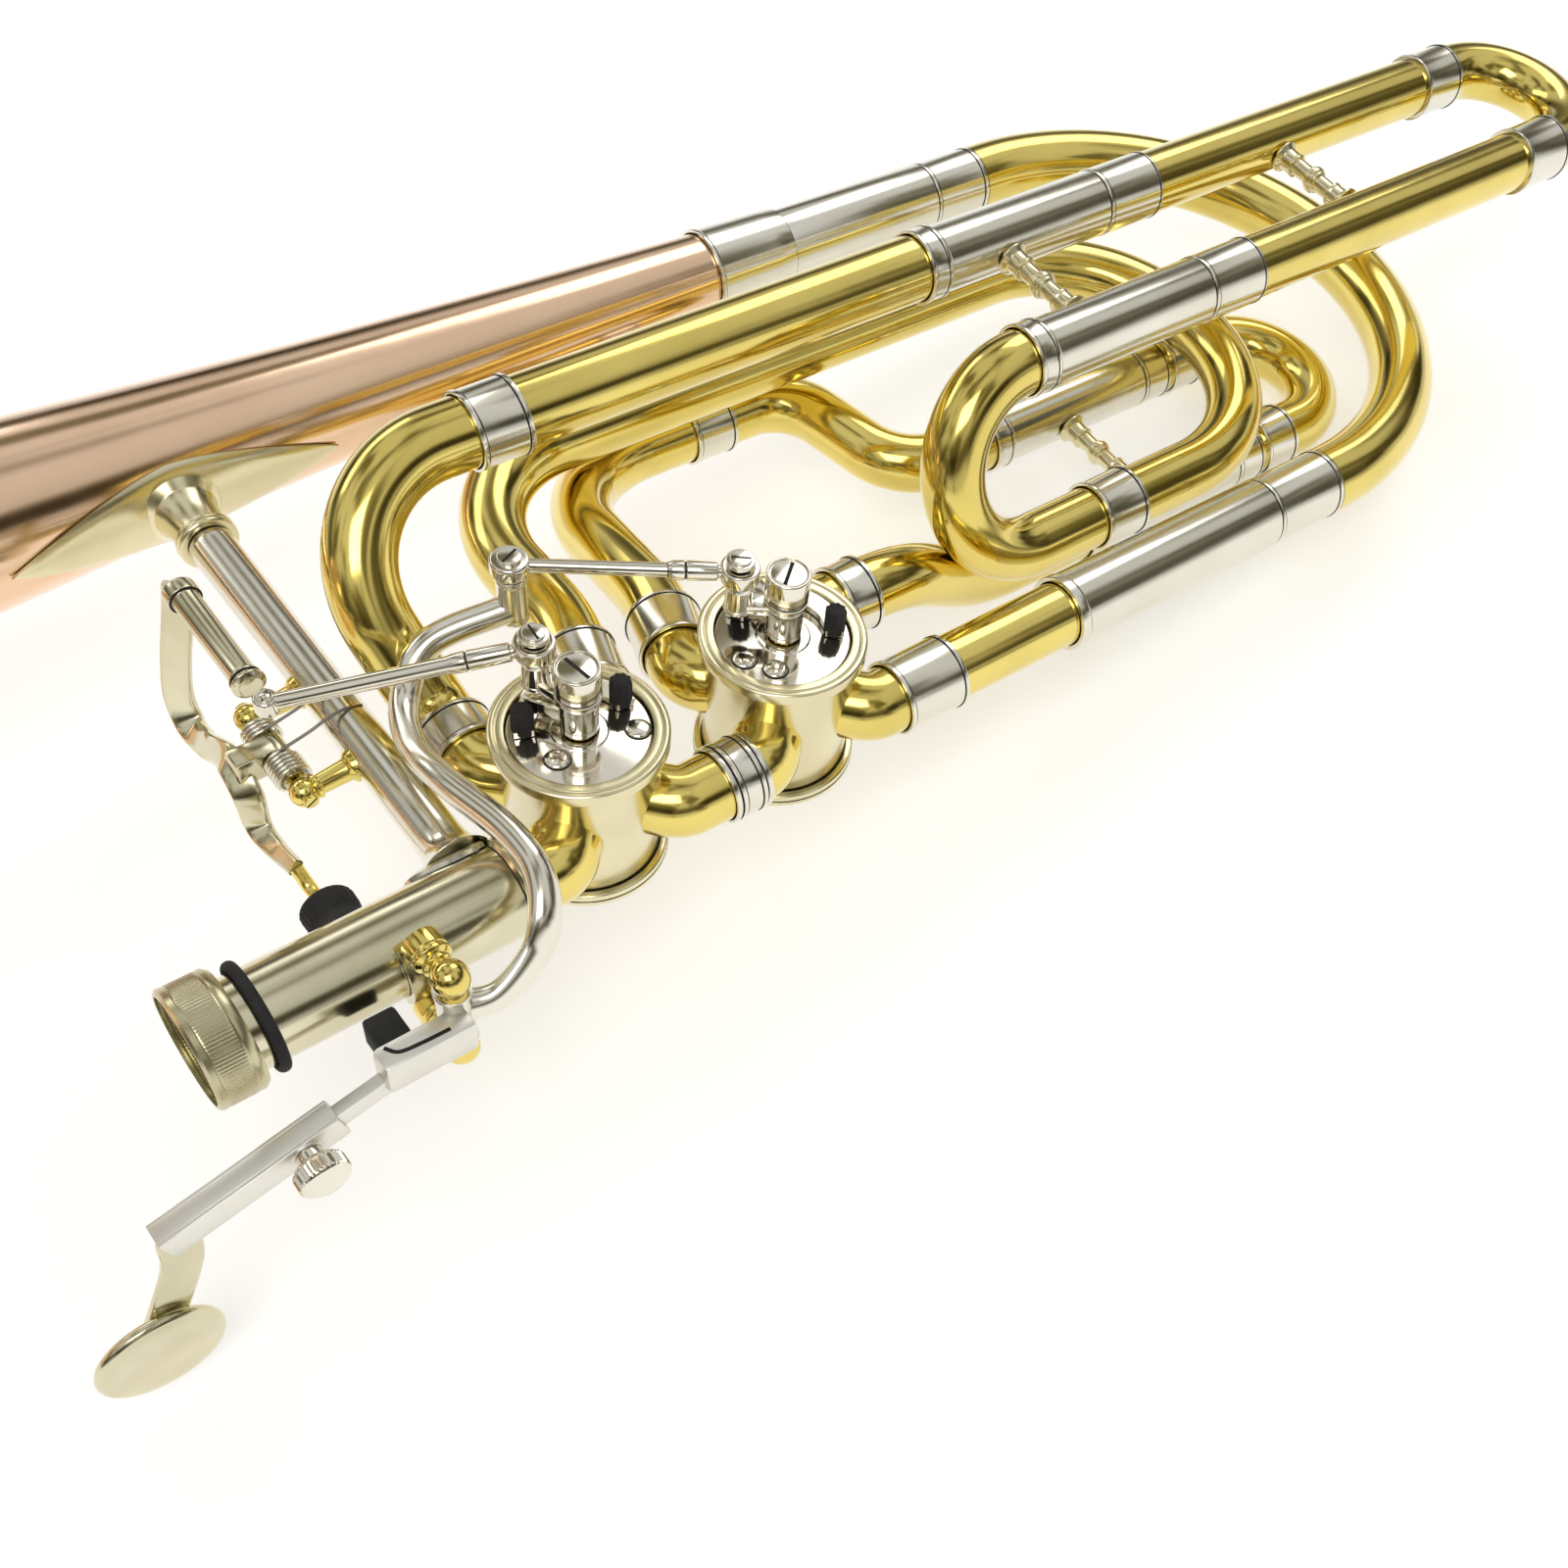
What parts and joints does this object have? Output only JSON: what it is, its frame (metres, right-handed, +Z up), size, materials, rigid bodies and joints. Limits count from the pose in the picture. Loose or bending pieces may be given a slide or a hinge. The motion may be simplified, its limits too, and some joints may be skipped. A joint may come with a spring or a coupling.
{
  "type": "trombone bell section",
  "caption": "Trombone bell section: flared bell, in-line rotor valves worked by levers and link rods, looped attachment tubing with pull-out tuning slides, and an open slide receiver.",
  "frame": {"origin": "middle of the footprint on the table the instrument lies on", "axes": "+X along the bell from its rim towards the tuning slides, +Z up from the table"},
  "size_m": [0.745, 0.3092, 0.2416],
  "materials": {
    "yellow_brass": "clear lacquered, polished",
    "rose_brass": "clear lacquered rose brass",
    "nickel_silver": "polished nickel silver",
    "rubber": "matt black"
  },
  "bodies": {
    "instrument": {"bell": "rose_brass", "bell_ferrule": "nickel_silver", "bell_flange": "nickel_silver", "bridge_ferrule": "nickel_silver", "cross_brace": "nickel_silver", "f_lever_spring": "yellow_brass", "f_long_tube": "yellow_brass", "f_out_bend": "yellow_brass", "f_out_ferrule": "nickel_silver", "f_outer_brace": "nickel_silver", "f_outer_leg_lower": "nickel_silver", "f_outer_leg_upper": "nickel_silver", "f_return_bend": "yellow_brass", "f_return_ferrule": "nickel_silver", "f_small_bow": "yellow_brass", "f_small_bow_ferrule": "nickel_silver", "gb_brace": "yellow_brass", "gb_lever_saddle": "yellow_brass", "gb_out_bend": "yellow_brass", "gb_out_ferrule": "nickel_silver", "gb_outer_leg_lower": "nickel_silver", "gb_outer_leg_upper": "nickel_silver", "gb_return_ferrule": "nickel_silver", "gb_return_tube": "yellow_brass", "gb_s_bend": "yellow_brass", "main_branch_tube": "yellow_brass", "main_outer_leg_bell": "nickel_silver", "main_outer_leg_valve": "nickel_silver", "neckpipe": "nickel_silver", "nut_ring": "rubber", "valve_1_bearing_plate": "yellow_brass", "valve_1_bumpers": "rubber", "valve_1_cap": "yellow_brass", "valve_1_casing": "yellow_brass", "valve_2_bearing_plate": "yellow_brass", "valve_2_bumpers": "rubber", "valve_2_cap": "yellow_brass", "valve_2_casing": "yellow_brass"},
    "slide_nut": {"slide_nut": "nickel_silver"},
    "valve_1": {"valve_1_rotor": "yellow_brass", "valve_1_stop_arm": "nickel_silver"},
    "valve_2": {"valve_2_rotor": "yellow_brass", "valve_2_stop_arm": "nickel_silver"},
    "f_rod": {"f_rod": "nickel_silver"},
    "gb_rod": {"gb_rod": "nickel_silver"},
    "f_lever": {"f_lever": "nickel_silver"},
    "gb_lever": {"gb_lever": "nickel_silver"},
    "gb_paddle": {"gb_paddle_arm": "nickel_silver"},
    "gb_thumbscrew": {"gb_thumbscrew": "nickel_silver"},
    "main_slide": {"main_slide_bow": "yellow_brass", "main_slide_leg_valve": "nickel_silver", "main_slide_leg_bell": "nickel_silver"},
    "f_slide": {"f_slide_bow": "yellow_brass", "f_slide_leg_upper": "yellow_brass", "f_slide_leg_lower": "yellow_brass", "f_slide_brace": "nickel_silver"},
    "gb_slide": {"gb_slide_bow": "yellow_brass", "gb_slide_leg_upper": "yellow_brass", "gb_slide_leg_lower": "yellow_brass"}
  },
  "joints": [
    {"name": "main_slide_pull", "type": "slide", "parent": "instrument", "child": "main_slide", "axis": [0.9915, 0, -0.1302], "range_m": [0, 0.04]},
    {"name": "f_slide_pull", "type": "slide", "parent": "instrument", "child": "f_slide", "axis": [0.9915, 0, -0.1302], "range_m": [0, 0.04]},
    {"name": "gb_slide_pull", "type": "slide", "parent": "instrument", "child": "gb_slide", "axis": [0.9915, 0, -0.1302], "range_m": [0, 0.038]},
    {"name": "f_lever_press", "type": "hinge", "parent": "instrument", "child": "f_lever", "pos_m": [-0.05863, -0.07337, 0.06924], "axis": [0.0128, 0.9952, 0.0972], "range_deg": [0, 48.32], "stiffness_Nm_per_rad": 0.05, "springref_deg": -34.38},
    {"name": "valve_1_turn", "type": "hinge", "parent": "instrument", "child": "valve_1", "pos_m": [-0.00969, -0.10412, 0.06178], "axis": [-0.1296, 0.098, -0.9867], "range_deg": [0, 90]},
    {"name": "f_rod_swing", "type": "hinge", "parent": "valve_1", "child": "f_rod", "pos_m": [-0.00861, -0.0981, 0.1002], "axis": [0.1533, -0.199, 0.9679], "range_deg": [0, 84.28]},
    {"name": "gb_lever_press", "type": "hinge", "parent": "instrument", "child": "gb_lever", "pos_m": [-0.0617, -0.13975, 0.06508], "axis": [-0.1296, 0.098, -0.9867], "range_deg": [0, 8.3], "stiffness_Nm_per_rad": 0.4, "springref_deg": -14.32},
    {"name": "valve_2_turn", "type": "hinge", "parent": "instrument", "child": "valve_2", "pos_m": [0.04306, -0.10412, 0.05486], "axis": [-0.1296, 0.098, -0.9867], "range_deg": [0, 90]},
    {"name": "gb_rod_swing", "type": "hinge", "parent": "valve_2", "child": "gb_rod", "pos_m": [0.03946, -0.1018, 0.09351], "axis": [0.1296, -0.098, 0.9867], "range_deg": [0, 104.98]},
    {"name": "gb_paddle_reach", "type": "slide", "parent": "gb_lever", "child": "gb_paddle", "axis": [-0.9903, 0.026, -0.1365], "range_m": [-0.004, 0.008]},
    {"name": "gb_thumbscrew_turn", "type": "hinge", "parent": "gb_paddle", "child": "gb_thumbscrew", "pos_m": [-0.09956, -0.14336, 0.06069], "axis": [-0.0128, -0.9952, -0.0972], "continuous": true},
    {"name": "slide_nut_turn", "type": "hinge", "parent": "instrument", "child": "slide_nut", "pos_m": [-0.10735, -0.11985, 0.07305], "axis": [0.9915, 0, -0.1302], "continuous": true}
  ],
  "couplings": [
    {"joint": "valve_1_turn", "follows": "f_lever_press", "ratio": 1.8626},
    {"joint": "f_rod_swing", "follows": "f_lever_press", "ratio": 1.7442},
    {"joint": "valve_2_turn", "follows": "gb_lever_press", "ratio": 10.837},
    {"joint": "gb_rod_swing", "follows": "gb_lever_press", "ratio": 12.641}
  ]
}
